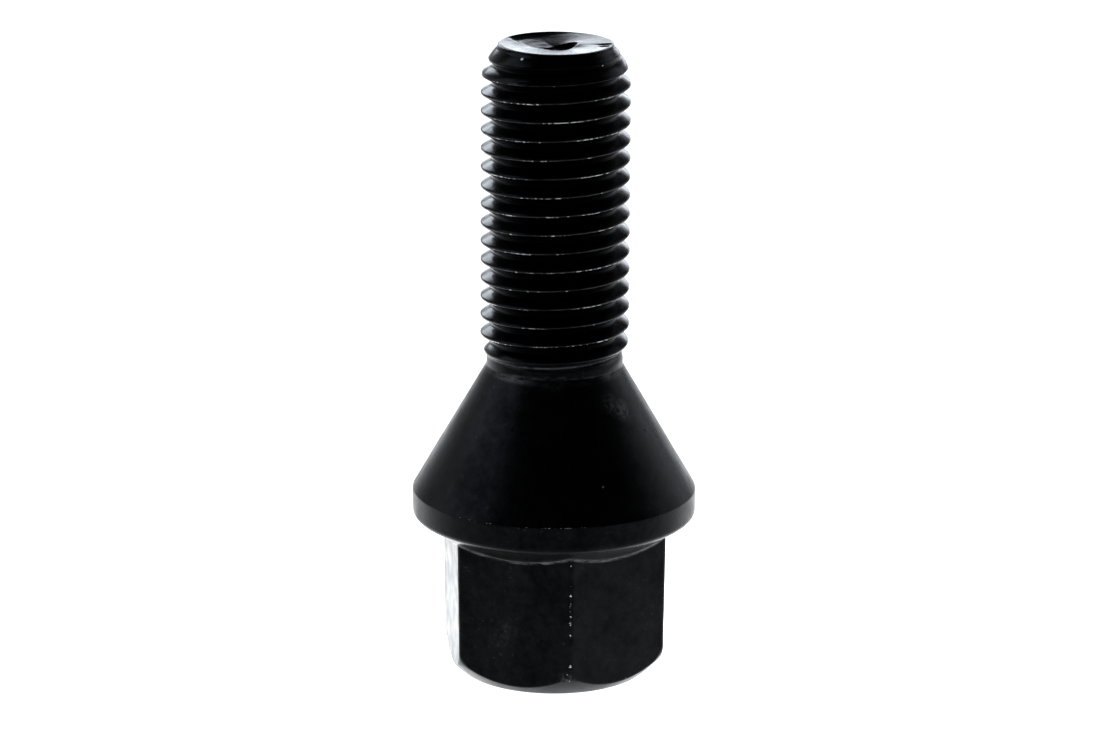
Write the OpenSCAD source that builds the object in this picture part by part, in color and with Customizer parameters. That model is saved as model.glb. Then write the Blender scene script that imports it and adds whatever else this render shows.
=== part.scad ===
// Wheel bolt, forged and rolled in one piece: a drafted hexagon, a flange with a
// 60 degree cone seat above it, and a right-hand metric fine thread with a dished end.
// It stands on its head. The origin is the middle of the head's end face, and +Z
// runs along the axis to the thread's tip. Sizes are in millimetres.

/* [Thread] */
// Outside diameter over the thread's crests
thread_d = 11.85; // [11.7:0.01:11.95]
// Pitch of the right-hand thread
thread_pitch = 1.5; // [1.45:0.01:1.55]
// Depth of the thread from crest to root
thread_depth = 0.92; // [0.8:0.01:0.95]
// Length from the cone's small end to the tip
shank_l = 26; // [22:0.1:40]
// Height of a crest above the head's end face, where the thread crosses +X
thread_phase = 0.24; // [0:0.01:1.5]

/* [Neck and run-out] */
// Diameter of the plain neck, which is the blank that the thread was rolled on
neck_d = 10.85; // [10.7:0.01:11]
// Height above the cone's small end where the thread starts to rise from the neck
runout_start = 0.1; // [0:0.05:0.5]
// Height over which the thread rises to its full form
runout_l = 2; // [1.5:0.1:3]
// Hollow radius where the neck meets the cone
neck_fillet_r = 0.5; // [0.3:0.05:0.8]

/* [Tip] */
// Diameter of the flat rim at the tip
tip_d = 9.1; // [8.8:0.05:9.4]
// Height of the rounded lip round the rim
lip_h = 0.28; // [0.1:0.02:0.4]
// Width of the lip beyond the rim
lip_w = 0.07; // [0.02:0.01:0.15]
// Slope of the crowned lead-in under the lip, from the axis
lead_slope = 46; // [40:1:50]
// Slope of the crowned lead-in where it meets the full thread, from the axis
lead_end_slope = 6; // [4:1:12]
// Diameter of the hollow in the tip
dish_d = 8.5; // [7.8:0.1:8.6]
// Depth of the hollow at its pit's edge
dish_depth = 0.38; // [0.2:0.02:0.5]
// Diameter of the small pit at the hollow's middle
pit_d = 2.5; // [1.5:0.1:3]
// Depth of the pit below the hollow
pit_depth = 0.35; // [0.1:0.05:0.6]

/* [Cone and flange] */
// Diameter of the flange, where the cone is widest
flange_d = 22.7; // [22:0.1:24]
// Height of the flange's rim
rim_h = 2.3; // [1.6:0.1:3]
// Included angle of the cone seat
cone_angle = 60; // [58:0.5:64]
// Rounding of the rim's upper edge
rim_top_r = 0.25; // [0.1:0.05:0.4]
// Rounding of the rim's lower edge
rim_low_r = 0.6; // [0.2:0.05:0.8]

/* [Hexagon] */
// Height of the hexagon, from the head's end face to the flange
hex_h = 12.8; // [10:0.1:16]
// Width across the flats, under the flange
hex_af = 16.8; // [16.6:0.05:17]
// Draft of the flats and corners, narrowing towards the end face
hex_draft = 0.7; // [0:0.1:1]
// Diameter over the turned corners, under the flange
corner_d = 19.24; // [19:0.02:19.3]
// Height of the flare between the flats and the flange
flare_h = 1.7; // [1.4:0.05:2.2]
// How far the flare reaches out past the flats, under the flange
flare_w = 2.25; // [1.6:0.05:2.3]
// Diameter of the end face, inside the crowned chamfer
end_d = 14.8; // [14:0.1:15.4]
// Height of the crowned chamfer at the hexagon's corners
crown_h = 2.1; // [1.8:0.05:2.4]

/* [Hidden] */

// Straight steps in one turn of the thread, and in each rounded edge
steps_per_turn = 40;
arc_steps = 6;
short_arc_steps = 3;
fine = 128;
sides = 6;
flank_angle = 30;
crest_flat = thread_pitch / 8;
// How far a hidden surface stays inside the one that covers it
cover = 0.1;

thread_r = thread_d / 2;
root_r = thread_r - thread_depth;
neck_r = neck_d / 2;
flange_r = flange_d / 2;
corner_r = corner_d / 2;
end_r = end_d / 2;

// Heights of the main levels above the head's end face
rim_top_z = hex_h + rim_h;
cone_top_z = rim_top_z + (flange_r - neck_r) / tan(cone_angle / 2);
tip_z = cone_top_z + shank_l;
runout_z = cone_top_z + runout_start;
trim_z = cone_top_z - 3 * thread_pitch;

// The rolled thread starts hidden inside the neck and ends past the tip
lead_turns = 1.2;

// Share of the run-out over which the neck stays plain, and at which it has sunk under the roots
neck_share = 0.3;
taper_share = 1.1;

hidden_r = neck_r - cover;
start_turn = floor((cone_top_z - thread_phase) / thread_pitch - lead_turns);
turns = ceil((tip_z - thread_phase) / thread_pitch) + 1 - start_turn;
steps = turns * steps_per_turn;

// Points of an arc round [cx, cy], from angle a to angle b
function arc(cx, cy, r, a, b, n) = [
    for (i = [0 : n]) let (t = a + (b - a) * i / n) [cx + r * cos(t), cy + r * sin(t)]];

// Value between a and b, held at either end outside 0 to 1
function blend(a, b, t) = a + (b - a) * min(1, max(0, t));

// Offsets along the axis of the four edges of one thread ridge, and their radii
crest_edge = crest_flat / 2;
root_edge = crest_edge + thread_depth * tan(flank_angle);
edge_shift = [-crest_edge, crest_edge, root_edge, thread_pitch - root_edge];
edge_r = [thread_r, thread_r, root_r, root_r];
edges = len(edge_shift);

// Point of the thread on one of the four edges, a number of steps along the helix
function thread_point(step, edge) = let (
        angle = 360 * step / steps_per_turn,
        z = thread_phase + (start_turn + step / steps_per_turn) * thread_pitch + edge_shift[edge],
        r = blend(hidden_r, edge_r[edge], (z - runout_z) / runout_l)
    ) [r * cos(angle), r * sin(angle), z];

// The threaded rod: a skin along the helix, closed by a fan at each end. The ends are
// one-turn ramps, one inside the cone and one past the tip, where it is cut off.
module threaded_rod() {
    low_centre = [0, 0, thread_phase + (start_turn + 0.5) * thread_pitch];
    high_centre = [0, 0, thread_phase + (start_turn + turns + 0.5) * thread_pitch];
    points = [for (i = [0 : steps], e = [0 : edges - 1]) thread_point(i, e)];
    low = len(points);
    high = low + 1;
    last = steps - steps_per_turn;
    ridge = [for (i = [0 : steps - 1], e = [0 : edges - 2], half = [0, 1])
        let (a = edges * i + e, b = a + edges)
        half == 0 ? [a, a + 1, b + 1] : [a, b + 1, b]];
    valley = [for (i = [0 : last - 1], half = [0, 1])
        let (a = edges * i + edges - 1, b = a + edges, up = edges * (i + steps_per_turn), next = up + edges)
        half == 0 ? [a, up, next] : [a, next, b]];
    low_ramp = [for (i = [0 : steps_per_turn - 1]) [low, edges * i, edges * (i + 1)]];
    low_step = [[low, edges * steps_per_turn, edges - 1], for (e = [edges - 1 : -1 : 1]) [low, e, e - 1]];
    high_ramp = [for (i = [last : steps - 1]) [high, edges * (i + 1) + edges - 1, edges * i + edges - 1]];
    high_step = [[high, edges * last + edges - 1, edges * steps], for (e = [0 : edges - 2])
        [high, edges * steps + e, edges * steps + e + 1]];
    polyhedron(concat(points, [low_centre, high_centre]),
        concat(ridge, valley, low_ramp, low_step, high_ramp, high_step));
}

// Outline that trims the rod: crowned lead-in, rim, hollow and pit at the tip
module tip_outline() {
    lip_r = tip_d / 2 + lip_w;
    lead_r = (thread_r - lip_r) / (cos(lead_end_slope) - cos(lead_slope));
    lead_cx = lip_r - lead_r * cos(lead_slope);
    lead_cz = tip_z - lip_h - lead_r * sin(lead_slope);
    outer_r = thread_r + cover;
    outer_z = lead_cz + lead_r * sin(lead_end_slope) - cover / tan(lead_end_slope);
    dish_r = dish_d / 2;
    pit_r = pit_d / 2;
    floor_z = tip_z - dish_depth;
    bend_r = blend(pit_r, dish_r, 0.72);
    bend_z = blend(floor_z, tip_z, 0.42);
    polygon(concat(
        [[0, trim_z], [outer_r, trim_z], [outer_r, outer_z]],
        arc(lead_cx, lead_cz, lead_r, lead_end_slope, lead_slope, arc_steps),
        [[tip_d / 2, tip_z], [dish_r, tip_z], [bend_r, bend_z], [pit_r, floor_z], [0, floor_z - pit_depth]]));
}

// Half section of all that is turned above the hexagon: flange, cone and neck
module collar_outline() {
    half = cone_angle / 2;
    rim_top_cz = rim_top_z - rim_top_r * tan(half / 2);
    fillet_cz = cone_top_z + neck_fillet_r * tan(half / 2);
    neck_end_z = runout_z + neck_share * runout_l;
    taper_end_z = runout_z + taper_share * runout_l;
    polygon(concat(
        [[0, hex_h - cover], [hex_af / 2, hex_h - cover], [hex_af / 2, hex_h]],
        arc(flange_r - rim_low_r, hex_h + rim_low_r, rim_low_r, -90, 0, arc_steps),
        arc(flange_r - rim_top_r, rim_top_cz, rim_top_r, 0, half, short_arc_steps),
        arc(neck_r + neck_fillet_r, fillet_cz, neck_fillet_r, 180 + half, 180, short_arc_steps),
        [[neck_r, neck_end_z], [root_r - cover, taper_end_z], [0, taper_end_z]]));
}

// Height above a lower ring of the middle of a ball that passes through both rings
function ball_rise(low_r, high_r, apart) = (high_r * high_r + apart * apart - low_r * low_r) / (2 * apart);

// Ball on the axis whose skin passes through two rings, the lower one at a height
module ball(low_r, high_r, low_z, apart) {
    rise = ball_rise(low_r, high_r, apart);
    translate([0, 0, low_z + rise]) sphere(r = norm([low_r, rise]), $fn = fine);
}

// The hexagon's blank: drafted where the corners will be, with the crowned chamfer
module blank() {
    drift = tan(hex_draft);
    intersection() {
        cylinder(h = hex_h, r1 = corner_r - hex_h * drift, r2 = corner_r, $fn = fine);
        ball(end_r, corner_r - (hex_h - crown_h) * drift, 0, crown_h);
    }
}

// The rounded flare that joins the flats to the flange
module flare() {
    low_z = hex_h - flare_h;
    flat_r = hex_af / 2;
    intersection() {
        translate([0, 0, low_z - cover]) cylinder(h = flare_h + cover, r = flange_r - rim_low_r, $fn = fine);
        ball(flat_r, flat_r + flare_w, low_z, flare_h);
    }
}

module turned() {
    rotate_extrude($fn = fine) children();
}

// What is cut away beside the flat that faces +X
module beside_flat() {
    translate([hex_af / 2, -corner_r, hex_h]) rotate([0, hex_draft, 0])
        translate([0, 0, -2 * hex_h]) cube([corner_d, corner_d, 3 * hex_h]);
}

// The hexagon, its corners on +Y and -Y
module hexagon() {
    difference() {
        blank();
        for (k = [0 : sides - 1]) rotate([0, 0, 360 / sides * k]) beside_flat();
    }
}

module wheel_bolt() {
    color("#1b1c1f") {
        hexagon();
        flare();
        turned() collar_outline();
        intersection() {
            threaded_rod();
            turned() tip_outline();
        }
    }
}

wheel_bolt();
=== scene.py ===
import math
import random

import bpy
import numpy as np
from mathutils import Matrix, Vector


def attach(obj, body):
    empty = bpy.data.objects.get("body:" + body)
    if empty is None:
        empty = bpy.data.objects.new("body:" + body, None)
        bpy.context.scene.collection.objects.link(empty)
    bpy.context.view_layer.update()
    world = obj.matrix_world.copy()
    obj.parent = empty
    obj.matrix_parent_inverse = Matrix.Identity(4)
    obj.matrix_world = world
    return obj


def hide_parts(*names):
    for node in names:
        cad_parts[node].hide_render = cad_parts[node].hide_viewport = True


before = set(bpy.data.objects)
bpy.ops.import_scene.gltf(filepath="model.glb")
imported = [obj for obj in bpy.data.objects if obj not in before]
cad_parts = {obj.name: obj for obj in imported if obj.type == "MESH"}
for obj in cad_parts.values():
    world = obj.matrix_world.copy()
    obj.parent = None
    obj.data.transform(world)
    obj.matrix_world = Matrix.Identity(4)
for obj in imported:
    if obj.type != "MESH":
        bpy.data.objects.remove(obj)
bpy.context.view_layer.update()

MM = 0.001

# Sizes of the bolt in millimetres. They are those of the part's source, but for the flare's height, which
# was read from the photograph again
THREAD_R = 5.925
PITCH = 1.5
THREAD_DEPTH = 0.92
THREAD_PHASE = 0.24
FLANK = math.radians(30)
SHANK_L = 26.0
NECK_R = 5.425
RUNOUT_START = 0.1
RUNOUT_L = 2.0
NECK_FILLET_R = 0.5
TIP_R = 4.55
LIP_H = 0.28
LIP_W = 0.07
LEAD_SLOPE = math.radians(46)
LEAD_END_SLOPE = math.radians(6)
DISH_DEPTH = 0.38
PIT_DEPTH = 0.35
FLANGE_R = 11.35
RIM_H = 2.3
HALF_CONE = math.radians(30)
RIM_TOP_R = 0.25
RIM_LOW_R = 0.6
HEX_H = 12.8
HEX_FLAT = 8.4
HEX_DRAFT = math.radians(0.7)
CORNER_R = 9.62
FLARE_H = 1.56
FLARE_W = 2.25
END_R = 7.4
CROWN_H = 2.1

# Shares of the run-out over which the neck stays plain, and at which it has sunk under the roots
NECK_SHARE = 0.3
TAPER_SHARE = 1.1
# How far a hidden surface stays inside the one that covers it
COVER = 0.1

# Roundings that only the mesh has. Round the end face:
END_EDGE = 0.2
# Where the crowned chamfer meets the flats, what that gains at a corner, and the gain's span in degrees
CROWN_EDGE = 0.12
CROWN_EDGE_MORE = 0.6
CROWN_EDGE_SPAN = 3.0
# Down the corners, at the flare's foot and where the flare meets the flange
CORNER_EDGE = 0.05
FLARE_EDGE = 0.14
UNDER_EDGE = 0.08
# On the thread: below and above the middle of a crest with the height between them, at the roots, and
# where the thread rises from the neck or is cut by the lead-in
CREST_EDGES = (0.16, 0.09)
CREST_EDGE_H = 0.02
ROOT_EDGE = 0.14
THREAD_END_EDGE = 0.05

# Unevenness of the forged head, which the end face and the neck don't have, and the heights over which it
# grows from them
HEAD_UNEVEN = 0.006
UNEVEN_LOW_H = 0.5
UNEVEN_TOP_H = 1.0

ROOT_R = THREAD_R - THREAD_DEPTH
RIM_TOP_Z = HEX_H + RIM_H
CONE_TOP_Z = RIM_TOP_Z + (FLANGE_R - NECK_R) / math.tan(HALF_CONE)
TIP_Z = CONE_TOP_Z + SHANK_L
RUNOUT_Z = CONE_TOP_Z + RUNOUT_START
NECK_Z = CONE_TOP_Z + NECK_FILLET_R * math.tan(HALF_CONE / 2)

# The camera, fitted to the photograph: place in millimetres and angles, in the part's own frame
CAMERA_AT = (-54.3, -373.65, 131.58)
CAMERA_TURN = math.radians(-8.274)
CAMERA_DOWN = math.radians(15.797)
CAMERA_ROLL = math.radians(0.29)
CAMERA_LENS = 159.5
SENSOR = 36.0

# Level directions of the photograph: to its right, and away from its camera
RIGHT = (math.cos(CAMERA_TURN), math.sin(CAMERA_TURN))
AWAY = (-math.sin(CAMERA_TURN), math.cos(CAMERA_TURN))

# Columns of the mesh round the axis: each sixth turn has fine columns at the hexagon's corner
SIXTHS = 6
CORNER_COLUMNS = 8
CORNER_SPAN = math.radians(2.4)
FLAT_COLUMNS = 28
COLUMNS = SIXTHS * (CORNER_COLUMNS + FLAT_COLUMNS)
FULL_TURN = 2 * math.pi


def column_angles():
    """Angles of the columns, from 0 to one turn. A corner of the hexagon is at 30 degrees."""
    half = math.pi / SIXTHS
    flat = np.linspace(0, half - CORNER_SPAN, FLAT_COLUMNS // 2 + 1)[:-1]
    corner = np.linspace(half - CORNER_SPAN, half, CORNER_COLUMNS // 2 + 1)[:-1]
    rise = np.concatenate([flat, corner])
    fall = 2 * half - np.concatenate([[half], rise[:0:-1]])
    sixth = np.concatenate([rise, fall])
    return np.concatenate([sixth + k * 2 * half for k in range(SIXTHS)])


ANGLES = column_angles()


def soft_min(a, b, width):
    """The smaller of a and b, with their crossing rounded over about the width."""
    h = np.clip(0.5 + 0.5 * (b - a) / width, 0, 1)
    return b + (a - b) * h - width * h * (1 - h)


def soft_max(a, b, width):
    return -soft_min(-a, -b, width)


def blend(a, b, t):
    return a + (b - a) * np.clip(t, 0, 1)


def share(value, low, high):
    """How far a value is on its way from low to high."""
    return (value - low) / (high - low)


def smooth(t):
    """Smooth step from 0 to 1 while t goes from 0 to 1."""
    t = np.clip(t, 0, 1)
    return t * t * (3 - 2 * t)


def turned_from(angle, centre):
    """Signed turn of an angle from a centre, within half a turn either way."""
    return (angle - centre + math.pi) % FULL_TURN - math.pi


def bump(distance, width):
    """A bell: 1 at no distance, and nearly 0 two widths away."""
    return np.exp(-(distance / width) ** 2)


def waves(angle, z, size, seed):
    """Slow random unevenness, the same each run: a sum of waves round and along the bolt."""
    rng = random.Random(seed)
    total = np.zeros(np.broadcast(angle, z).shape)
    for _ in range(9):
        turns = rng.randint(1, 9)
        rate = rng.uniform(0.3, 2.4)
        total = total + np.sin(turns * angle + rate * z + rng.uniform(0, FULL_TURN)) / 3
    return total * size


# The mesh

class Skin:
    """Points and faces of the closed skin. Each point has marks: its shares of wear, painted highlight and
    painted shade.
    """

    MARKS = ("wear", "sheen", "soot")

    def __init__(self):
        self.points = []
        self.marks = []
        self.count = 0
        self.faces = []

    def add(self, x, y, z, **marks):
        """Add points, each a place in millimetres with its marks. Returns their numbers."""
        x, y, z = np.broadcast_arrays(x, y, z)
        places = np.stack([x, y, z], -1).reshape(-1, 3) * MM
        shares = [np.broadcast_to(marks.get(name, 0.0), x.shape).reshape(-1) for name in self.MARKS]
        self.points.append(places)
        self.marks.append(np.stack(shares, -1))
        self.count += len(places)
        return np.arange(self.count - len(places), self.count)

    def add_turned(self, angle, r, z, **marks):
        return self.add(r * np.cos(angle), r * np.sin(angle), z, **marks)

    def weave(self, rows):
        """Faces between neighbouring rows of points, without those that have shrunk to a line."""
        quads = np.stack([rows[:-1, :-1], rows[:-1, 1:], rows[1:, 1:], rows[1:, :-1]], -1).reshape(-1, 4)
        differs = quads != np.roll(quads, 1, axis=1)
        for quad, keep in zip(quads, differs):
            if keep.sum() > 2:
                self.faces.append(quad[keep].tolist())

    def strip(self, low, high):
        rows = np.stack([low, high])
        self.weave(np.hstack([rows, rows[:, :1]]))

    def cap(self, loop, centre, facing_up):
        for a, b in zip(loop.tolist(), np.roll(loop, -1).tolist()):
            self.faces.append([a, b, centre] if facing_up else [b, a, centre])

    def mesh(self, name):
        mesh = bpy.data.meshes.new(name)
        mesh.from_pydata(np.concatenate(self.points).tolist(), [], self.faces)
        mesh.validate()
        marks = np.concatenate(self.marks).astype(np.float32)
        for k, mark in enumerate(self.MARKS):
            layer = mesh.attributes.new(mark, "FLOAT", "POINT")
            layer.data.foreach_set("value", np.ascontiguousarray(marks[:, k]))
        mesh.shade_smooth()
        return mesh


# Forms of the head

def flat_angle():
    """Angle of each column from the middle of its flat."""
    sixth = FULL_TURN / SIXTHS
    return (ANGLES + sixth / 2) % sixth - sixth / 2


def hexagon_r(z):
    """Radius of the drafted hexagon with its turned corners, one value per column."""
    drift = (HEX_H - z) * math.tan(HEX_DRAFT)
    flat = (HEX_FLAT - drift) / np.cos(flat_angle())
    return soft_min(flat, CORNER_R - drift, CORNER_EDGE)


def ball_rise(low_r, high_r, apart):
    """Height above a lower ring of the middle of a ball that passes through both rings."""
    return (high_r ** 2 + apart ** 2 - low_r ** 2) / (2 * apart)


CROWN_CZ = ball_rise(END_R, CORNER_R - (HEX_H - CROWN_H) * math.tan(HEX_DRAFT), CROWN_H)
CROWN_R = math.hypot(END_R, CROWN_CZ)
FLARE_RISE = ball_rise(HEX_FLAT, HEX_FLAT + FLARE_W, FLARE_H)
FLARE_CZ = HEX_H - FLARE_H + FLARE_RISE
FLARE_R = math.hypot(HEX_FLAT, FLARE_RISE)


def crown_z(r):
    """Height of the crowned chamfer at a radius."""
    return CROWN_CZ - np.sqrt(CROWN_R ** 2 - r ** 2)


def flare_r(z):
    """Radius of the flare at a height."""
    return np.sqrt(FLARE_R ** 2 - (FLARE_CZ - z) ** 2)


def flare_z(r):
    """Height of the flare at a radius."""
    return FLARE_CZ - np.sqrt(FLARE_R ** 2 - r ** 2)


def meeting(height_at):
    """Where a ball's skin meets the hexagon, one point per column."""
    z = np.full(COLUMNS, HEX_H / 2)
    for _ in range(12):
        z = height_at(hexagon_r(z))
    return on_hexagon(z)


def on_hexagon(z):
    """Row of the hexagon's skin at a height for each column."""
    return np.stack([hexagon_r(z), z], -1)


def on_crown(r):
    """Row of the crowned chamfer's skin at a radius for each column."""
    return np.stack([r, crown_z(r)], -1)


def on_flare(r):
    """Row of the flare's skin at a radius for each column."""
    return np.stack([r, flare_z(r)], -1)


def ring(r, z):
    """One row of points: a radius and a height for each column."""
    return np.stack([np.broadcast_to(r, COLUMNS), np.broadcast_to(z, COLUMNS)], -1).astype(float)


def rounded(before, corner, after, reach, steps):
    """Rows round a corner between two rows, over a reach on either side."""
    a = before - corner
    b = after - corner
    a *= (reach / np.linalg.norm(a, axis=-1))[:, None]
    b *= (reach / np.linalg.norm(b, axis=-1))[:, None]
    rows = []
    for i in range(steps + 1):
        t = i / steps
        rows.append(corner + a * (1 - t) ** 2 + b * t ** 2)
    return rows


def arc_rows(cr, cz, radius, start, end, steps):
    """Rows along an arc round a middle, from one angle to another."""
    angles = np.linspace(start, end, steps + 1)
    return [ring(cr + radius * math.cos(t), cz + radius * math.sin(t)) for t in angles]


def between(first, last, count):
    """Rows between two rows, without the two."""
    return [first + (last - first) * i / (count + 1) for i in range(1, count + 1)]


# Worn places on the flange's upper edge: middle and half width in degrees round the axis
RIM_DASHES = (
    (227.5, 1.4), (234, 2.4), (240, 1.0), (250.3, 2.4), (259, 2.5), (268, 6.5),
    (31, 3.0), (118, 5.0), (160, 2.0),
)
RIM_WEAR = 1.02
DASH_WEAR = 1.25
# Shares along the rounded edges of the flange, from below: painted highlight of the lower one, over its
# rubbed edge, and wear of the upper one
LOW_EDGE_SHINE = (0.3, 1, 1, 0.15, 0, 0, 0, 0, 0, 0)
LOW_EDGE_WEAR = 1.18
TOP_EDGE_WEAR = (0.5, 0.9, 1, 0.9, 0.5)
# Wear down the corners, over degrees to either side, and what the front one gains
CORNER_WEAR = 0.87
CORNER_WEAR_SPAN = 1.8
FRONT_WEAR = 0.3
FRONT_SPAN = math.radians(8)
# Wear of the edge round the end face, and the least along the crowned chamfer's edge
END_WEAR = 0.5
CROWN_WEAR = 0.95
# Painted highlights at the flare's foot and of the hollow at the neck
FLARE_SHINE = 0.19
FILLET_SHINE = 0.1
# The hexagon's most worn corner, the one that faces the photograph's camera
FRONT_CORNER = math.radians(270)


def rim_wear():
    """Share of wear along the flange's upper edge, one value per column."""
    total = np.full(COLUMNS, RIM_WEAR)
    for middle, half in RIM_DASHES:
        away = np.degrees(np.abs(turned_from(ANGLES, math.radians(middle))))
        total = np.maximum(total, DASH_WEAR * (away < half))
    return total


def beside_corner():
    """Degrees from the nearest corner of the hexagon, one value per column."""
    return np.degrees(math.pi / SIXTHS - np.abs(flat_angle()))


def corner_wear():
    """Share of wear along the hexagon's corners, one value per column."""
    front = bump(turned_from(ANGLES, FRONT_CORNER), FRONT_SPAN)
    return bump(beside_corner(), CORNER_WEAR_SPAN) * (CORNER_WEAR + FRONT_WEAR * front)


def marked(rows, **marks):
    """Rows with their marks, each mark one share or one share per column."""
    return [(row, marks) for row in rows]


def crown_rows():
    """The end face, its edge and the crowned chamfer, up to the edge where the flats start."""
    rows = marked([ring(END_R * t, 0) for t in (0.3, 0.6, 0.8, 0.93)])
    first_crown = ring(END_R + 0.3, crown_z(END_R + 0.3))
    rows += marked(rounded(ring(END_R - 1, 0), ring(END_R, 0), first_crown, END_EDGE, 4), wear=END_WEAR)
    corner = meeting(crown_z)
    reach = CROWN_EDGE + CROWN_EDGE_MORE * bump(beside_corner(), CROWN_EDGE_SPAN)
    below_r = corner[:, 0] - 0.8 * reach
    rows += marked([on_crown(END_R + (below_r - END_R) * t) for t in np.linspace(0.2, 0.95, 7)])
    edge = rounded(on_crown(below_r), corner, on_hexagon(corner[:, 1] + 1), reach, 6)
    return rows + marked(edge, wear=np.maximum(CROWN_WEAR, corner_wear()))


def flat_rows(low, high):
    """The hexagon's flats and corners, between the rows below and above them."""
    shares = (0.01, 0.03, 0.07, *np.linspace(0.12, 0.88, 16), 0.93, 0.97, 0.99)
    rows = [on_hexagon(low[:, 1] + (high[:, 1] - low[:, 1]) * t) for t in shares]
    return marked(rows, wear=corner_wear())


def flare_foot():
    """Rows round the hollow edge where the flats run out into the flare."""
    foot = meeting(flare_z)
    return rounded(on_hexagon(foot[:, 1] - 1), foot, on_flare(foot[:, 0] + 0.1), FLARE_EDGE, 4)


def flange_rows(low):
    """The flare from the row below it, and the flange's rim with its two rounded edges."""
    low_arc = arc_rows(FLANGE_R - RIM_LOW_R, HEX_H + RIM_LOW_R, RIM_LOW_R, -math.pi / 2, 0, 9)
    under = ring(flare_r(HEX_H - 0.1), HEX_H - 0.1)
    inside = rounded(under, ring(flare_r(HEX_H), HEX_H), low_arc[0], UNDER_EDGE, 3)
    rows = [on_flare(low[:, 0] + (inside[0][:, 0] - low[:, 0]) * t) for t in np.linspace(0.15, 0.85, 5)]
    # Painted shade on the flare and the hollow under the flange
    rows = marked(rows + inside, soot=1.0)
    # Painted highlight along the flange's lower edge, over its rubbed wear
    for row, shine in zip(low_arc, LOW_EDGE_SHINE):
        rows += marked([row], sheen=shine, wear=LOW_EDGE_WEAR * shine)
    top_z = RIM_TOP_Z - RIM_TOP_R * math.tan(HALF_CONE / 2)
    top_arc = arc_rows(FLANGE_R - RIM_TOP_R, top_z, RIM_TOP_R, 0, HALF_CONE, 4)
    rows += marked(between(low_arc[-1], top_arc[0], 5))
    for row, worn in zip(top_arc, TOP_EDGE_WEAR):
        rows += marked([row], wear=worn * rim_wear())
    return rows


def cone_rows(low):
    """The cone from the row below it, and the hollow where it meets the neck."""
    fillet = arc_rows(NECK_R + NECK_FILLET_R, NECK_Z, NECK_FILLET_R, math.pi + HALF_CONE, math.pi, 5)
    # The hollow at the neck gets a painted highlight
    return marked(between(low, fillet[0], 24)) + marked(fillet, sheen=FILLET_SHINE)


def head_rows():
    """Rows from the middle of the end face up to the plain neck, each with its marks."""
    rows = crown_rows()
    foot = flare_foot()
    rows += flat_rows(rows[-1][0], foot[0])
    # The flare's foot gets a painted highlight
    rows += marked(foot, sheen=FLARE_SHINE)
    rows += flange_rows(foot[-1])
    return rows + cone_rows(rows[-1][0])


def build_head(skin):
    """The end face, hexagon, flange, cone and neck. Returns the last row's points."""
    centre = skin.add(0.0, 0.0, 0.0)
    last = None
    for values, marks in head_rows():
        r = values[:, 0]
        z = values[:, 1]
        rough = np.clip(z / UNEVEN_LOW_H, 0, 1) * np.clip((CONE_TOP_Z - z) / UNEVEN_TOP_H, 0, 1)
        r = np.minimum(r + rough * waves(ANGLES, z, HEAD_UNEVEN, 3), FLANGE_R)
        current = skin.add_turned(ANGLES, r, z, **marks)
        if last is None:
            skin.cap(current, int(centre[0]), False)
        else:
            skin.strip(last, current)
        last = current
    return last


# Forms of the thread

CREST_HALF = PITCH / 16
# Heights of the mesh's rows above the middle of a crest, closest where its lower edge is rounded
ROW_SHIFTS = (
    -0.64, -0.56, -0.46, -0.27, -0.2, -0.15, -0.1, -0.05, 0.0, 0.05, 0.1, 0.15, 0.46, 0.56, 0.64, 0.75,
)
# How far past a level ring a point of the thread has to be before it gives way to the ring
SNAP_LOW = 0.02
SNAP_TOP = 1e-4
# Height of the level ring that ends the thread, under the lip
THREAD_TOP = TIP_Z - 0.66

LIP_R = TIP_R + LIP_W
LEAD_R = (THREAD_R - LIP_R) / (math.cos(LEAD_END_SLOPE) - math.cos(LEAD_SLOPE))
LEAD_CR = LIP_R - LEAD_R * math.cos(LEAD_SLOPE)
LEAD_CZ = TIP_Z - LIP_H - LEAD_R * math.sin(LEAD_SLOPE)


def lead_in_r(z):
    """Radius of the crowned lead-in at a height."""
    s = np.clip((z - LEAD_CZ) / LEAD_R, math.sin(LEAD_END_SLOPE), 1)
    below = np.maximum(0, LEAD_CZ + LEAD_R * math.sin(LEAD_END_SLOPE) - z)
    return LEAD_CR + LEAD_R * np.sqrt(1 - s * s) + below * math.tan(LEAD_END_SLOPE)


def crest_rise(angle, z):
    """Height above the middle of the nearest crest of the right-hand helix."""
    return (z - THREAD_PHASE - PITCH * angle / FULL_TURN + PITCH / 2) % PITCH - PITCH / 2


def crest_distance(angle, z):
    return np.abs(crest_rise(angle, z))


def risen(z):
    """Share of the thread's full height, from 0 at the neck to 1 past the run-out."""
    return np.clip((z - RUNOUT_Z) / RUNOUT_L, 0, 1)


def thread_r(angle, z):
    """Radius of the thread, with its run-out at the neck and its lead-in at the tip."""
    flank = THREAD_R - (crest_distance(angle, z) - CREST_HALF) / math.tan(FLANK)
    crest_edge = blend(*CREST_EDGES, crest_rise(angle, z) / CREST_EDGE_H + 0.5)
    full = soft_max(soft_min(flank, THREAD_R, crest_edge), ROOT_R, ROOT_EDGE)
    neck = blend(NECK_R, ROOT_R - COVER, share(risen(z), NECK_SHARE, TAPER_SHARE))
    rising = soft_max(blend(NECK_R - COVER, full, risen(z)), neck, THREAD_END_EDGE)
    return soft_min(rising, lead_in_r(z), THREAD_END_EDGE)


# Small dents on the crests at seeded places: how many, their half widths as turns, depths and half height,
# and how far from a crest's middle they reach
DENTS = 170
DENT_WIDTHS = (0.03, 0.09)
DENT_DEPTHS = (0.02, 0.06)
DENT_H = 0.6
DENT_REACH = 0.2
# One that shows in the photograph: its turn, height, half width as a turn and depth
SEEN_DENT = (math.radians(256), 43.29, 0.05, 0.07)

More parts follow.
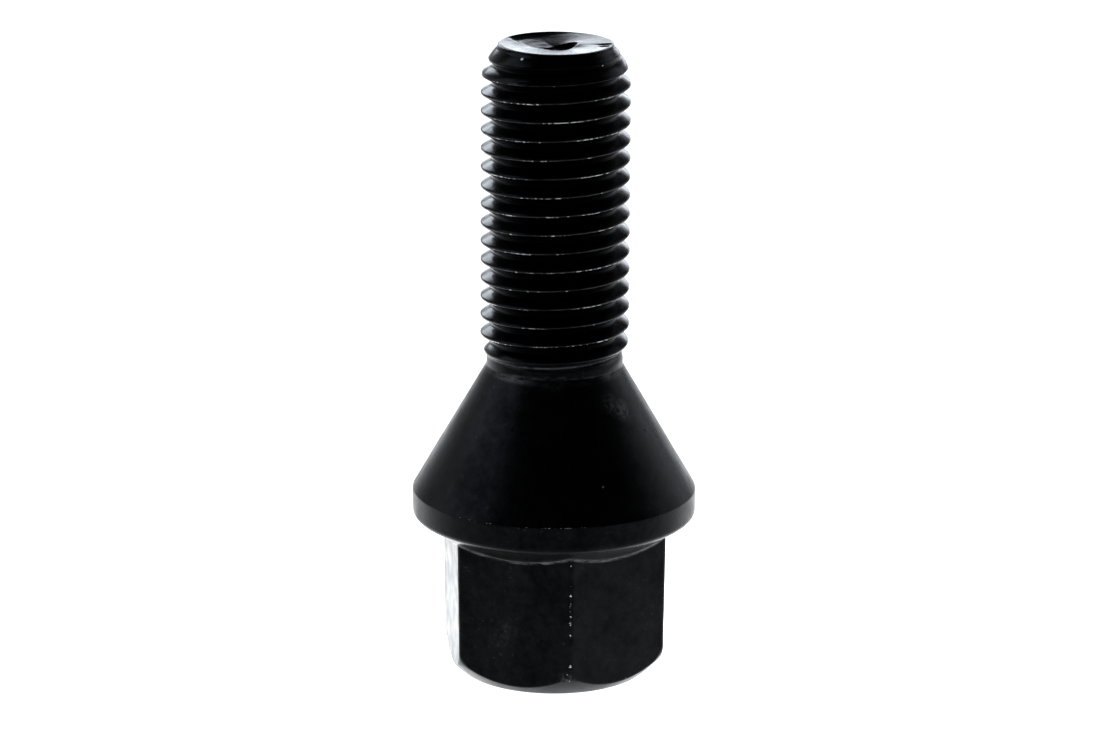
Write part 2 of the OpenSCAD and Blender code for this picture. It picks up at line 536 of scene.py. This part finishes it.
# Worn band along the crests: how far below a crest's middle it lies, and how far from there it stays full
# and ends
WORN_BELOW = 0.13
WORN_FULL = 0.072
WORN_END = 0.162
# How far a crest is cut back by the lead-in where it has no wear, and where it has all of it
UNWORN_CUT = 0.255
WORN_CUT = 0.105
CREST_WEAR = 1.2
CREST_WEAR_UNEVEN = 0.15
# Painted highlight along the crests' worn band
CREST_SHINE = 0.06
# Painted highlight on the neck where the thread starts to rise: height over the run-out's start, half width
# and share
RISING_H = 0.9
RISING_HALF = 0.25
RISING_SHINE = 0.1
# Painted shade in the grooves: distance from a crest where it starts, and the distance over which it grows
SHADE_FROM = 0.34
SHADE_OVER = 0.22


def crest_dents(angle, z):
    """Depth of the dents on the thread's crests."""
    rng = random.Random(11)
    places = [SEEN_DENT]
    for _ in range(DENTS):
        turn = rng.uniform(0, FULL_TURN)
        height = rng.uniform(RUNOUT_Z + 1, THREAD_TOP - 1.5)
        places.append((turn, height, rng.uniform(*DENT_WIDTHS), rng.uniform(*DENT_DEPTHS)))
    total = np.zeros(np.shape(z))
    for turn, height, width, deep in places:
        total += deep * bump(turned_from(angle, turn), width) * bump(z - height, DENT_H)
    return total * np.clip(1 - crest_distance(angle, z) / DENT_REACH, 0, 1)


def helix_shifts():
    """Heights of the helix rows above a crest, snapped so that each leaves the top ring at a column."""
    snapped = []
    for s in ROW_SHIFTS:
        turn = ((THREAD_TOP - THREAD_PHASE - s) / PITCH) % 1 * FULL_TURN
        at = ANGLES[np.argmin(np.abs(ANGLES - turn))]
        snapped.append(s + (turn - at) / FULL_TURN * PITCH)
    return np.array(snapped)


def thread_marks(angle, z, r):
    """Marks of the thread: wear and a painted highlight along the crests that the lead-in leaves, a painted
    highlight where it rises from the neck, and painted shade in the grooves.
    """
    uncut = np.clip(share(r, THREAD_R - UNWORN_CUT, THREAD_R - WORN_CUT), 0, 1)
    from_band = np.abs(crest_rise(angle, z) + WORN_BELOW)
    crest = np.clip(share(from_band, WORN_END, WORN_FULL), 0, 1) * risen(z) * uncut
    rising = bump(z - RUNOUT_Z - RISING_H, RISING_HALF) * RISING_SHINE
    return {
        "wear": crest * (CREST_WEAR + waves(angle, z, CREST_WEAR_UNEVEN, 5)),
        "sheen": np.maximum(CREST_SHINE * crest, rising),
        "soot": smooth((crest_distance(angle, z) - SHADE_FROM) / SHADE_OVER) * risen(z),
    }


def build_thread(skin, low):
    """The thread: rows that follow the helix, cut off at a level ring at each end. Returns the top ring."""
    shifts = helix_shifts()
    top = skin.add_turned(ANGLES, thread_r(ANGLES, THREAD_TOP), THREAD_TOP)
    first = math.floor((RUNOUT_Z - THREAD_PHASE) / PITCH) - 2
    last = math.ceil((TIP_Z - THREAD_PHASE) / PITCH) + 3
    turns = np.arange(first, last)[:, None, None] + ANGLES / FULL_TURN
    z = (THREAD_PHASE + shifts[None, :, None] + PITCH * turns).reshape(-1, COLUMNS)
    angle = np.broadcast_to(ANGLES, z.shape)
    rows = np.where(z > THREAD_TOP - SNAP_TOP, top, low)
    inside = (z <= THREAD_TOP - SNAP_TOP) & (z >= NECK_Z + SNAP_LOW)
    a = angle[inside]
    h = z[inside]
    r = thread_r(a, h)
    marks = thread_marks(a, h, r)
    rows[inside] = skin.add_turned(a, r - crest_dents(a, h), h, **marks)
    one_turn = len(shifts)
    skin.weave(np.hstack([rows[:-one_turn], rows[one_turn:, :1]]))
    return top


# Forms of the tip, in the photograph's level directions: u to its right, v away from its camera

# Width over which the rim's edge is rounded, at the back and at the worn front
EDGE_WIDTH = (0.06, 0.3)
# Radius where that rounding starts
EDGE_R = TIP_R + 0.02
# Radius inside the rounded edge, at the back and at the front
RIM_R = 4.4
FRONT_RIM_R = TIP_R - EDGE_WIDTH[1] - 0.03
# Share of the edge's drop at the back
BACK_DROP = 0.4
# Rows over that edge: share of its width, how far it has dropped there, and wear
EDGE_ROWS = ((0, 0.05, 0.3), (0.35, 0.03, 0.6), (0.7, 0.01, 0.5), (1, 0, 0.3))
# Middle of the pit, its radius, and its turns in degrees from u where it is drawn out or pressed in
PIT_U = 0.3
PIT_V = 0.25
PIT_R = 1.2
PIT_SHAPE = ((28, 26, 0.35), (184, 28, 0.28), (137, 22, -0.2))
# The scooped side, at the photograph's back: its ends in degrees from u, at the rim and at the pit, and the
# degrees over which each end fades
SCOOP_FROM = (84, 54)
SCOOP_TO = (149, 190)
SCOOP_FADE = 60
SCOOP_SOFT = 12
# Its wall: the share of the way to the pit, and its depth, which grows between two turns
SCOOP_WALL = 0.26
WALL_DEPTH = (0.04, 0.3)
WALL_TURNS = (64, 114)
# Depth at the pit on the scooped side, which grows between two turns, and on the near side
FAR_DEPTH = (0.26, 0.56)
FAR_TURNS = (56, 116)
NEAR_DEPTH = 0.42
# Depth at the pit on the shallow side, the middle of that side in degrees from u, and its half width
SIDE_DEPTH = 0.13
SIDE_TURN = 24
SIDE_HALF = 68
# Fine streaks in the hollow: their turn from u, where they are full on the way to the pit, their share
# outside the scooped side, and the rate, start and height of each wave
STREAK_TURN = math.radians(50)
STREAK_FULL = 0.15
STREAK_SHARE = 0.25
STREAKS = ((17, 0, 0.005), (29, 1, 0.004), (47, 2, 0.003))
# Nicks beside the right rim: place, half length and half width, and depth
TIP_NICKS = ((3.9, -0.2, 0.6, 0.2, 0.13), (3.85, -0.95, 0.4, 0.18, 0.11), (1.0, -3.75, 0.1, 0.1, 0.04))
# Rows of the hollow, as shares of the way from the rim to the pit
HOLLOW_ROWS = (
    0, 0.02, 0.05, 0.085, 0.12, 0.16, 0.2, 0.245, 0.29, 0.35,
    0.42, 0.5, 0.58, 0.66, 0.74, 0.82, 0.9, 0.96, 1,
)
# Rows of the pit's wall: share of the pit's radius, and share of its depth
PIT_FLOOR = DISH_DEPTH + PIT_DEPTH
PIT_ROWS = ((0.95, 0.12), (0.88, 0.4), (0.8, 0.66), (0.68, 0.82), (0.5, 0.92), (0.25, 0.98))


def pit_outline(turn):
    """Radius of the pit's edge round its middle, for a turn from u."""
    total = np.full(np.shape(turn), PIT_R)
    for centre, width, size in PIT_SHAPE:
        total += size * bump(np.degrees(turned_from(turn, math.radians(centre))), width)
    return total


def scoop_depth(t, degrees):
    """Depth of the scooped side: a rounded wall inside the rim, then a slope down to the pit."""
    wall = blend(*WALL_DEPTH, share(degrees, *WALL_TURNS))
    fallen = 1 - (1 - np.clip(t / SCOOP_WALL, 0, 1)) ** 2
    far = blend(*FAR_DEPTH, share(degrees, *FAR_TURNS))
    return wall * fallen + (far - wall) * np.clip(share(t, SCOOP_WALL, 1), 0, 1)


def near_depth(t, turn):
    """Depth of the rest of the hollow, an even slope down to the pit."""
    shallow = bump(np.degrees(turned_from(turn, math.radians(SIDE_TURN))), SIDE_HALF)
    return t * blend(NEAR_DEPTH, SIDE_DEPTH, shallow)


def streaks(u, v):
    """Height of the fine streaks at a place in the hollow."""
    across = -u * math.sin(STREAK_TURN) + v * math.cos(STREAK_TURN)
    return sum(height * np.sin(rate * across + start) for rate, start, height in STREAKS)


def dish_depth(t, turn, u, v):
    """Depth of the hollow, from the rim at t = 0 to the pit's edge at t = 1."""
    degrees = np.degrees(turn % FULL_TURN)
    start = blend(*SCOOP_FROM, t)
    end = blend(*SCOOP_TO, t ** 1.5)
    scoop = smooth((degrees - start) / SCOOP_FADE + 0.5) * smooth((end - degrees) / SCOOP_SOFT + 0.5)
    depth = blend(near_depth(t, turn), scoop_depth(t, degrees), scoop)
    depth = depth + streaks(u, v) * smooth(t / STREAK_FULL) * blend(STREAK_SHARE, 1, scoop)
    for at_u, at_v, half_u, half_v, deep in TIP_NICKS:
        depth = depth + deep * bump(u - at_u, half_u) * bump(v - at_v, half_v)
    return depth


def lip_rows(skin, front):
    """Rows over the lip and the rim's rounded edge."""
    rows = []
    for t in (0.25, 0.5, 0.75, 1.0):
        z = blend(THREAD_TOP, TIP_Z - LIP_H, t)
        rows.append(skin.add_turned(ANGLES, lead_in_r(z), z))
    width = blend(*EDGE_WIDTH, front)
    for across, drop, wear in EDGE_ROWS:
        z = TIP_Z - drop * blend(BACK_DROP, 1, front)
        rows.append(skin.add_turned(ANGLES, EDGE_R - across * width, z, wear=wear))
    return rows


def hollow_rows(skin, turn, front):
    """Rows of the hollow and of its pit's wall, which darkens with painted shade on its way down."""
    rows = []
    rim = blend(RIM_R, FRONT_RIM_R, front)
    pit = pit_outline(turn)
    for t in HOLLOW_ROWS:
        u = blend(rim, pit, t) * np.cos(turn) + PIT_U * t
        v = blend(rim, pit, t) * np.sin(turn) + PIT_V * t
        edge = dish_depth(t, turn, u, v)
        rows.append(add_plan(skin, u, v, edge))
    for reach, fall in PIT_ROWS:
        u = pit * reach * np.cos(turn) + PIT_U
        v = pit * reach * np.sin(turn) + PIT_V
        # The pit's wall gets painted shade that grows with its depth
        rows.append(add_plan(skin, u, v, blend(edge, PIT_FLOOR, fall), soot=min(1.0, 3 * fall)))
    return rows


def add_plan(skin, u, v, depth, **marks):
    """Points at a place in the photograph's level directions and a depth below the tip."""
    x = u * RIGHT[0] + v * AWAY[0]
    y = u * RIGHT[1] + v * AWAY[1]
    return skin.add(x, y, TIP_Z - depth, **marks)


def build_tip(skin, low):
    """From the thread's end over the lip and down into the hollow and its pit."""
    turn = ANGLES - CAMERA_TURN
    front = smooth(0.5 - np.sin(turn))
    last = low
    for row in lip_rows(skin, front) + hollow_rows(skin, turn, front):
        skin.strip(last, row)
        last = row
    # The pit's floor is fully darkened with painted shade
    centre = add_plan(skin, PIT_U, PIT_V, PIT_FLOOR, soot=1.0)
    skin.cap(last, int(centre[0]), True)


def make_bolt():
    skin = Skin()
    neck = build_head(skin)
    thread_end = build_thread(skin, neck)
    build_tip(skin, thread_end)
    bolt = bpy.data.objects.new("wheel_bolt_steel", skin.mesh("wheel_bolt_steel"))
    bpy.context.scene.collection.objects.link(bolt)
    return bolt


# Materials

# Short lines on the tip: how far below the tip they end and are full, and their soft ends and sides
STROKE_NONE = 0.5
STROKE_FULL = 0.4
STROKE_SOFT_U = 0.2
STROKE_SOFT_V = 0.1


class Nodes:
    """A short way to make and join the nodes of a material or of the world."""

    def __init__(self, tree):
        self.tree = tree

    def add(self, kind, values=None, **settings):
        node = self.tree.nodes.new(kind)
        for name, value in settings.items():
            setattr(node, name, value)
        for name, value in (values or {}).items():
            self.join(value, node.inputs[name])
        return node

    def join(self, value, socket):
        if isinstance(value, bpy.types.NodeSocket):
            self.tree.links.new(value, socket)
        else:
            socket.default_value = value

    def math(self, operation, a, b=0.0, c=0.0):
        return self.add("ShaderNodeMath", {0: a, 1: b, 2: c}, operation=operation).outputs[0]

    def vector(self, operation, a, b, output="Vector"):
        return self.add("ShaderNodeVectorMath", {0: a, 1: b}, operation=operation).outputs[output]

    def ramp(self, value, low, high, to_low=0.0, to_high=1.0):
        """Value taken from low..high to to_low..to_high, held at the ends."""
        values = {"Value": value, "From Min": low, "From Max": high, "To Min": to_low, "To Max": to_high}
        return self.add("ShaderNodeMapRange", values, interpolation_type="SMOOTHSTEP").outputs["Result"]

    def box(self, value, low, high, soft):
        """1 between low and high, 0 outside, with soft ends."""
        rise = self.ramp(value, low - soft / 2, low + soft / 2)
        fall = self.ramp(value, high - soft / 2, high + soft / 2, 1.0, 0.0)
        return self.math("MULTIPLY", rise, fall)

    def noise(self, vector, scale, detail=3.0, roughness=0.55):
        values = {"Vector": vector, "Scale": scale, "Detail": detail, "Roughness": roughness}
        return self.add("ShaderNodeTexNoise", values).outputs["Fac"]

    def attribute(self, name):
        return self.add("ShaderNodeAttribute", attribute_name=name).outputs["Fac"]

    def mix_colour(self, factor, a, b):
        mix = self.add("ShaderNodeMix", {"Factor": factor, "A": a, "B": b}, data_type="RGBA")
        return mix.outputs["Result"]

    def dots(self, places, core=0.6):
        """Round marks, each given by its angle, height, distance from the axis and own radius. The core is
        the share of its radius in which a mark is full."""
        here = self.add("ShaderNodeTexCoord").outputs["Object"]
        total = 0.0
        for degrees, z, r, size in places:
            turn = math.radians(degrees)
            at = (r * math.cos(turn) * MM, r * math.sin(turn) * MM, z * MM)
            far = self.vector("DISTANCE", here, at, "Value")
            total = self.math("MAXIMUM", total, self.ramp(far, size * MM * core, size * MM, 1.0, 0.0))
        return total

    def strokes(self, places):
        """Short lines on the tip, each given by its middle in u and v and its half length and width."""
        here = self.add("ShaderNodeTexCoord").outputs["Object"]
        u = self.vector("DOT_PRODUCT", here, (*RIGHT, 0), "Value")
        v = self.vector("DOT_PRODUCT", here, (*AWAY, 0), "Value")
        height = self.vector("DOT_PRODUCT", here, (0, 0, 1), "Value")
        high = self.ramp(height, (TIP_Z - STROKE_NONE) * MM, (TIP_Z - STROKE_FULL) * MM)
        total = 0.0
        for at_u, at_v, half_u, half_v in places:
            along = self.box(u, (at_u - half_u) * MM, (at_u + half_u) * MM, STROKE_SOFT_U * MM)
            across = self.box(v, (at_v - half_v) * MM, (at_v + half_v) * MM, STROKE_SOFT_V * MM)
            total = self.math("MAXIMUM", total, self.math("MULTIPLY", along, across))
        return self.math("MULTIPLY", total, high)


def new_material(name):
    material = bpy.data.materials.new(name)
    material.use_nodes = True
    return material, material.node_tree.nodes["Principled BSDF"], Nodes(material.node_tree)


# Bright specks and dark pits that show in the photograph: angle in degrees, height, distance from the axis
# and own radius
BRIGHT_SPECKS = (
    (228.1, 50.94, 4.78, 0.14), (308.0, 50.35, 4.99, 0.09), (305.7, 49.39, 5.42, 0.13),
    (303.9, 49.22, 5.49, 0.12), (229.1, 49.1, 5.54, 0.1), (260.2, 49.05, 5.7, 0.14),
    (282.7, 49.0, 5.7, 0.14), (233.1, 49.0, 5.59, 0.17), (240.9, 48.99, 5.59, 0.12),
    (211.7, 48.94, 5.62, 0.13), (215.9, 48.93, 5.63, 0.15), (220.9, 48.9, 5.64, 0.15),
    (229.9, 48.83, 5.75, 0.15), (252.5, 43.1, 5.85, 0.1), (258.5, 41.5, 5.85, 0.12),
    (250.0, 41.5, 5.86, 0.09), (248, 38.6, 5.85, 0.12), (236, 37.0, 5.85, 0.14),
    (284.9, 17.79, 9.79, 0.1), (281.7, 8.4, 8.45, 0.08), (215.4, 2.32, 9.5, 0.16), (268.4, 2.28, 9.56, 0.2),
)
DARK_PITS = (
    (325.5, 20.86, 8.03, 0.12), (235.5, 21.74, 7.51, 0.12), (247, 19.8, 8.7, 0.13), (243, 18.4, 9.5, 0.12),
    (289, 17.1, 10.2, 0.13), (282.7, 10.7, 8.6, 0.2), (262, 9.0, 8.5, 0.09), (255.5, 4.87, 8.6, 0.12),
)

# Painted highlights, given in the same way, and fainter ones
PAINTED_HIGHLIGHTS = (
    (257, 24.95, 5.68, 0.8), (264, 24.95, 5.68, 0.8), (303.6, 23.4, 6.57, 1.3), (312.2, 22.75, 6.93, 1.4),
    (268.4, 1.8, 9.2, 0.9),
)
FAINT_PAINTED_HIGHLIGHTS = ((231.4, 4.6, 9.0, 1.5), (236, 5.6, 8.7, 1.2))
# Dark nicks across the tip's rim: middle in u and v, half length and half width
NICK_LINES = ((3.9, -0.2, 0.55, 0.16), (3.85, -0.95, 0.3, 0.13))

# Noises of the plating: scale, detail and, in some, roughness
PATCHES = (260.0, 4.0)
SATIN = (700.0, 4.0)
MOTTLE = (1300.0, 3.0, 0.65)
CHIPS = (3000.0, 2.0, 0.7)
GRAIN = (3600.0, 2.0)
LINES = (620.0, 4.0, 0.7)
# The lines are this many times finer along the bolt's axis
LINES_FINER = 5.0

PLATING_DARK = (0.002, 0.0021, 0.0024, 1)
PLATING_PALE = (0.0068, 0.007, 0.008, 1)
# Colours of the painted shade and of the painted highlights
PAINTED_SHADE_COLOUR = (0.0003, 0.0003, 0.0003, 1)
PAINTED_SHEEN_COLOUR = (0.32, 0.32, 0.33, 1)
DUST_COLOUR = (0.045, 0.046, 0.049, 1)
BARE_STEEL = (0.5, 0.5, 0.5, 1)
PIT_COLOUR = (0.0006, 0.0006, 0.0007, 1)
# How much the painted shade, the painted highlights, the faint ones beside them, the dust and the pits
# cover
PAINTED_SHADE_SHARE = 0.9
HIGHLIGHT_SHARE = 0.065
FAINT_SHARE = 0.25
DUST_SHARE = 0.3
PIT_SHARE = 0.85
# Worn share times noise at which the plating starts to chip, and at which it has gone
CHIPPED = (0.78, 0.88)
PLATING_ROUGH = (0.27, 0.37)
PIT_ROUGH = 0.9
# The rolled thread is smoother than the forged head. That grows between two heights over the cone's end
ROLLED_SMOOTHER = 0.1
ROLLED_FROM = 0.5
ROLLED_FULL = 2.0
BUMP_STRENGTH = 0.3
# In metres
BUMP_DISTANCE = 0.00006


def plating_colour(n, here, mottle, grain, lines):
    """Near-black plating, uneven in tone and dusty, with painted shade in the grooves and hollows and
    painted highlights along edges and lines, partly over rubbed plating.
    """
    patches = n.noise(here, *PATCHES)
    tone = n.math("ADD", n.math("MULTIPLY", patches, 0.5), n.math("MULTIPLY", mottle, 0.5))
    colour = n.mix_colour(n.ramp(tone, 0.3, 0.7), PLATING_DARK, PLATING_PALE)
    # Painted shade in the grooves, under the flange and in the tip's pit
    colour = n.mix_colour(n.math("MULTIPLY", n.attribute("soot"), PAINTED_SHADE_SHARE), colour, PAINTED_SHADE_COLOUR)
    # Painted highlight: lighter plating along edges and lines where reflections fall, partly over rubbed
    # plating
    painted_sheen_amount = n.math("MULTIPLY", n.attribute("sheen"), n.ramp(lines, 0.38, 0.62, 0.05, 1.2))
    colour = n.mix_colour(painted_sheen_amount, colour, PAINTED_SHEEN_COLOUR)
    dusty = n.ramp(patches, 0.5, 0.62, 0.0, DUST_SHARE)
    dust = n.math("MULTIPLY", n.ramp(grain, 0.62, 0.76), dusty)
    return n.mix_colour(dust, colour, DUST_COLOUR)


def bright_marks(n, here, grain, lines):
    """Chips along the worn edges, painted highlights and specks."""
    chips = n.noise(here, *CHIPS)
    uneven = n.math("MULTIPLY_ADD", lines, 0.5, n.math("MULTIPLY", chips, 0.75))
    chipped = n.ramp(n.math("MULTIPLY", n.attribute("wear"), uneven), *CHIPPED)
    # Painted highlights on the cone and the flats, lighter patches where reflections fall
    highlights = n.math("MULTIPLY_ADD", n.dots(FAINT_PAINTED_HIGHLIGHTS, 0.0), FAINT_SHARE, n.dots(PAINTED_HIGHLIGHTS, 0.0))
    highlighted = n.math("MULTIPLY", highlights, n.ramp(grain, 0.35, 0.65, 0.0, HIGHLIGHT_SHARE))
    return n.math("MAXIMUM", n.math("MAXIMUM", chipped, highlighted), n.dots(BRIGHT_SPECKS))


def dark_marks(n):
    """Pits in the plating and the nicks across the tip's rim."""
    return n.math("MAXIMUM", n.math("MULTIPLY", n.dots(DARK_PITS), PIT_SHARE), n.strokes(NICK_LINES))


def plating_roughness(n, here, dark):
    """Satin, rough in the dark marks and smoother on the rolled thread."""
    height = n.vector("DOT_PRODUCT", here, (0, 0, 1), "Value")
    low = (CONE_TOP_Z + ROLLED_FROM) * MM
    high = (CONE_TOP_Z + ROLLED_FULL) * MM
    rolled = n.ramp(height, low, high, 0.0, ROLLED_SMOOTHER)
    satin = n.ramp(n.noise(here, *SATIN), 0.3, 0.7, *PLATING_ROUGH)
    marked_rough = n.math("MAXIMUM", satin, n.math("MULTIPLY", dark, PIT_ROUGH))
    return n.math("SUBTRACT", marked_rough, rolled)


def black_steel():
    """Black satin plating on steel, worn bright on the thread's crests and on sharp edges, with painted
    highlights and painted shade.
    """
    material, shader, n = new_material("black_steel")
    here = n.add("ShaderNodeTexCoord").outputs["Object"]
    mottle = n.noise(here, *MOTTLE)
    grain = n.noise(here, *GRAIN)
    lines = n.noise(n.vector("MULTIPLY", here, (1.0, 1.0, LINES_FINER)), *LINES)
    dark = dark_marks(n)
    colour = plating_colour(n, here, mottle, grain, lines)
    colour = n.mix_colour(bright_marks(n, here, grain, lines), colour, BARE_STEEL)
    colour = n.mix_colour(dark, colour, PIT_COLOUR)
    n.join(colour, shader.inputs["Base Color"])
    n.join(1.0, shader.inputs["Metallic"])
    n.join(plating_roughness(n, here, dark), shader.inputs["Roughness"])
    height = n.math("ADD", n.math("MULTIPLY", mottle, 0.6), n.math("MULTIPLY", grain, 0.25))
    values = {"Height": height, "Strength": BUMP_STRENGTH, "Distance": BUMP_DISTANCE}
    bumps = n.add("ShaderNodeBump", values)
    n.join(bumps.outputs["Normal"], shader.inputs["Normal"])
    return material


FLOOR_DARK = (0.90, 0.905, 0.91, 1)
FLOOR_PALE = (0.93, 0.935, 0.94, 1)
FLOOR_ROUGH = 0.8
FLOOR_NOISE = (30.0, 4.0)
# The floor's glow: places in metres from the bolt's axis, away from the photograph's camera and to either
# side, with the light at both ends of each change
GLOW_COLOUR = (0.96, 0.985, 1.0, 1)
NEAR_PLACES = (-0.07, -0.022)
NEAR_LIGHT = (0.3, 1.08)
SIDE_PLACES = (0.078, 0.125)
SIDE_LIGHT = (1.0, 0.3)
# The brightest part, just behind the bolt: its reach, soft ends and added light
BEHIND_BACK = (-0.002, 0.042)
BEHIND_BACK_SOFT = 0.02
BEHIND_SIDE = (-0.024, 0.024)
BEHIND_SIDE_SOFT = 0.012
BEHIND_LIGHT = 1.9


def pale_floor():
    """A floor that glows by itself: brightest behind the bolt, white up to its front, dimmer beyond."""
    material, shader, n = new_material("pale_floor")
    here = n.add("ShaderNodeTexCoord").outputs["Object"]
    colour = n.mix_colour(n.noise(here, *FLOOR_NOISE), FLOOR_DARK, FLOOR_PALE)
    n.join(colour, shader.inputs["Base Color"])
    n.join(FLOOR_ROUGH, shader.inputs["Roughness"])
    n.join(GLOW_COLOUR, shader.inputs["Emission Color"])
    back = n.vector("DOT_PRODUCT", here, (*AWAY, 0), "Value")
    side = n.vector("DOT_PRODUCT", here, (*RIGHT, 0), "Value")
    near = n.ramp(back, *NEAR_PLACES, *NEAR_LIGHT)
    middle = n.ramp(n.math("ABSOLUTE", side), *SIDE_PLACES, *SIDE_LIGHT)
    behind_back = n.box(back, *BEHIND_BACK, BEHIND_BACK_SOFT)
    behind_side = n.box(side, *BEHIND_SIDE, BEHIND_SIDE_SOFT)
    behind = n.math("MULTIPLY", behind_back, behind_side)
    strength = n.math("MULTIPLY_ADD", behind, BEHIND_LIGHT, n.math("MULTIPLY", near, middle))
    n.join(strength, shader.inputs["Emission Strength"])
    return material


# Floor, lights and camera

# Half the floor's width, in metres
FLOOR_HALF = 6.0


def make_floor():
    corners = [(x * FLOOR_HALF, y * FLOOR_HALF, 0) for x, y in ((-1, -1), (1, -1), (1, 1), (-1, 1))]
    mesh = bpy.data.meshes.new("floor")
    mesh.from_pydata(corners, [], [(0, 1, 2, 3)])
    floor = bpy.data.objects.new("floor", mesh)
    mesh.materials.append(pale_floor())
    bpy.context.scene.collection.objects.link(floor)


# Soft white panels round the bolt: degrees to the right of straight back, degrees over the floor, and light
PANELS = (
    {"turn": (-9, 9), "turn_soft": 8, "rise": (-12, 18), "rise_soft": 6, "light": 3.2},
    {"turn": (9, 28), "turn_soft": 8, "rise": (-12, 11), "rise_soft": 8, "light": 3.0},
    {"turn": (-28, -11), "turn_soft": 6, "rise": (8, 27), "rise_soft": 6, "light": 3.6},
    {"turn": (42, 86), "turn_soft": 14, "rise": (-5, 38), "rise_soft": 16, "light": 1.0},
    {"turn": (-118, -66), "turn_soft": 16, "rise": (3, 50), "rise_soft": 16, "light": 2.0},
    {"turn": (-66, -18), "turn_soft": 10, "rise": (-12, 24), "rise_soft": 12, "light": 0.3},
)
AMBIENT = 0.06
STUDIO_COLOUR = (0.86, 0.92, 1.0, 1)


def make_world():
    """A dim studio with soft white panels behind and beside the bolt."""
    world = bpy.data.worlds.new("studio")
    bpy.context.scene.world = world
    world.use_nodes = True
    n = Nodes(world.node_tree)
    ray = n.add("ShaderNodeTexCoord").outputs["Generated"]
    right = n.vector("DOT_PRODUCT", ray, (*RIGHT, 0), "Value")
    away = n.vector("DOT_PRODUCT", ray, (*AWAY, 0), "Value")
    turn = n.math("DEGREES", n.math("ARCTAN2", right, away))
    rise = n.math("DEGREES", n.math("ARCSINE", n.vector("DOT_PRODUCT", ray, (0, 0, 1), "Value")))
    total = AMBIENT
    for panel in PANELS:
        wide = n.box(turn, *panel["turn"], panel["turn_soft"])
        high = n.box(rise, *panel["rise"], panel["rise_soft"])
        total = n.math("MULTIPLY_ADD", n.math("MULTIPLY", wide, high), panel["light"], total)
    background = world.node_tree.nodes["Background"]
    n.join(STUDIO_COLOUR, background.inputs["Color"])
    n.join(total, background.inputs["Strength"])


def make_camera():
    flat = Vector((*AWAY, 0))
    forward = flat * math.cos(CAMERA_DOWN) - Vector((0, 0, math.sin(CAMERA_DOWN)))
    right = forward.cross(Vector((0, 0, 1))).normalized()
    up = right.cross(forward)
    right_rolled = right * math.cos(CAMERA_ROLL) + up * math.sin(CAMERA_ROLL)
    up_rolled = up * math.cos(CAMERA_ROLL) - right * math.sin(CAMERA_ROLL)
    data = bpy.data.cameras.new("camera")
    data.lens = CAMERA_LENS
    data.sensor_width = SENSOR
    data.clip_start = 0.01
    camera = bpy.data.objects.new("camera", data)
    turn = Matrix((right_rolled, up_rolled, -forward)).transposed().to_4x4()
    camera.matrix_world = Matrix.Translation(Vector(CAMERA_AT) * MM) @ turn
    bpy.context.scene.collection.objects.link(camera)
    bpy.context.scene.camera = camera


def main():
    make_camera()
    bolt = make_bolt()
    bolt.data.materials.append(black_steel())
    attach(bolt, "root")
    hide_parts("wheel_bolt")
    make_floor()
    make_world()
    bpy.context.scene.view_settings.view_transform = "Standard"


main()
